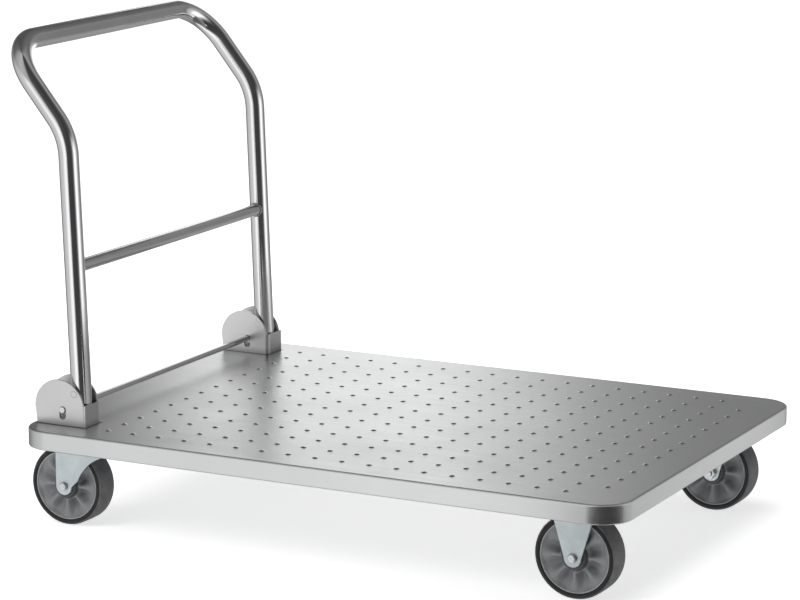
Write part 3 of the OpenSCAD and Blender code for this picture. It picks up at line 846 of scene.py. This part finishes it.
# Studio brightness by compass angle from the camera's side, in degrees towards its right:
# at eye level, and higher up.
EYE_LEVEL = ((-180, 0.30), (-152, 0.22), (-130, 0.30), (-104, 0.62), (-66, 0.74), (-47, 1.15),
             (-28, 1.25), (-19, 0.60), (-11, 0.06), (36, 0.05), (48, 0.16), (58, 0.70), (67, 1.35),
             (85, 1.30), (98, 0.65), (114, 0.28), (145, 0.36), (180, 0.30))
HIGH_UP = ((-180, 0.10), (-150, 0.09), (-118, 0.14), (-88, 0.42), (-60, 0.55), (-25, 0.45), (-10, 0.08),
           (40, 0.05), (62, 0.06), (85, 0.12), (104, 0.40), (121, 0.28), (140, 0.15), (180, 0.10))


def build_world():
    """White to the camera; to reflections, a ring of bright and dark studio walls."""
    world = bpy.data.worlds.new("studio")
    bpy.context.scene.world = world
    world.use_nodes = True
    tree = world.node_tree
    tree.nodes.clear()

    def add(kind, inputs=(), **settings):
        return add_node(tree, kind, inputs, **settings)

    def ring(angle_share, stops):
        """Brightness over the full circle."""
        return fade(tree, angle_share, [((angle + 180) / 360, value) for angle, value in stops])

    direction = add("ShaderNodeTexCoord").outputs["Generated"]
    back_angle = math.atan2(CAMERA_BACK.y, CAMERA_BACK.x)
    turned = add("ShaderNodeVectorRotate", {"Vector": direction, "Angle": -back_angle},
                 rotation_type="Z_AXIS").outputs[0]
    parts = add("ShaderNodeSeparateXYZ", {0: turned}).outputs
    angle = add("ShaderNodeMath", {0: parts["Y"], 1: parts["X"]}, operation="ARCTAN2").outputs[0]
    share = add("ShaderNodeMapRange", {"Value": angle, "From Min": -math.pi, "From Max": math.pi,
                                       "To Min": 0.0, "To Max": 1.0}).outputs["Result"]
    low, high = ring(share, EYE_LEVEL), ring(share, HIGH_UP)
    lift = add("ShaderNodeMapRange", {"Value": parts["Z"], "From Min": 0.0, "From Max": 0.45},
               interpolation_type="SMOOTHSTEP").outputs["Result"]
    mixed = add("ShaderNodeMix", data_type="RGBA")
    for socket, value in (("Factor", lift), ("A", low), ("B", high)):
        tree.links.new(value, mixed.inputs[socket])
    studio = add("ShaderNodeBackground", {"Color": mixed.outputs["Result"], "Strength": 1.0})
    plain = add("ShaderNodeBackground", {"Color": (1, 1, 1, 1), "Strength": 1.0})
    seen = add("ShaderNodeLightPath").outputs["Is Camera Ray"]
    out = add("ShaderNodeMixShader", {0: seen, 1: studio.outputs[0], 2: plain.outputs[0]})
    add("ShaderNodeOutputWorld", {"Surface": out.outputs[0]})


def build_cards():
    """Cards for the band of light along the deck, and for the front skirt and its right corner."""
    card("deck_card", (-2.1, 1.55, 0.05), (0.7, 1.55, 1.4),
         ((0, 0.12), (0.18, 0.15), (0.24, 0.50), (0.30, 1.12), (0.40, 1.14), (0.50, 1.20),
          (0.57, 0.80), (0.64, 0.42), (0.71, 0.26), (1, 0.22)))
    card("front_card", (0.75, -0.26, -0.35), (0.75, 0.86, 0.14),
         ((0, 0.45), (0.4, 0.62), (0.8, 0.85), (1, 0.7)))
    card("corner_screen", (0.75, -0.62, -0.15), (0.75, -0.265, 0.15), ((0, 0.03), (1, 0.03)))
    card("corner_screen_end", (0.22, -0.62, -0.15), (0.75, -0.62, 0.15),
         ((0, 1.15), (0.16, 0.9), (0.32, 0.5), (0.46, 0.06), (1, 0.03)))


def build_studio(deck):
    """Floor, camera and lights; the front glow is there for the deck's reflections alone."""
    build_world()
    build_floor()
    build_camera()
    build_cards()
    area_light("key", (-1.6, -2.6, 2.6), (0, 0, 0.1), (1.6, 1.6), 45)
    area_light("top", (0.2, 0.3, 3.2), (0.1, 0, 0), (2.6, 2.2), 60)
    front_glow = area_light("front_glow", (3.25, -3.25, 3.3), (0, 0, deck_z), (11, 3.2), 42)
    front_glow.visible_glossy = True
    lit = bpy.data.collections.new("lit_by_front_glow")
    lit.objects.link(deck)
    front_glow.light_linking.receiver_collection = lit
    scene = bpy.context.scene
    scene.view_settings.view_transform = "Standard"
    scene.view_settings.look = "None"


# ---------------------------------------------------------------- all of it

deck = build_deck()
build_handle()
build_brace()
build_wheels()
build_springs()
dress_cad_nodes()
build_studio(deck)
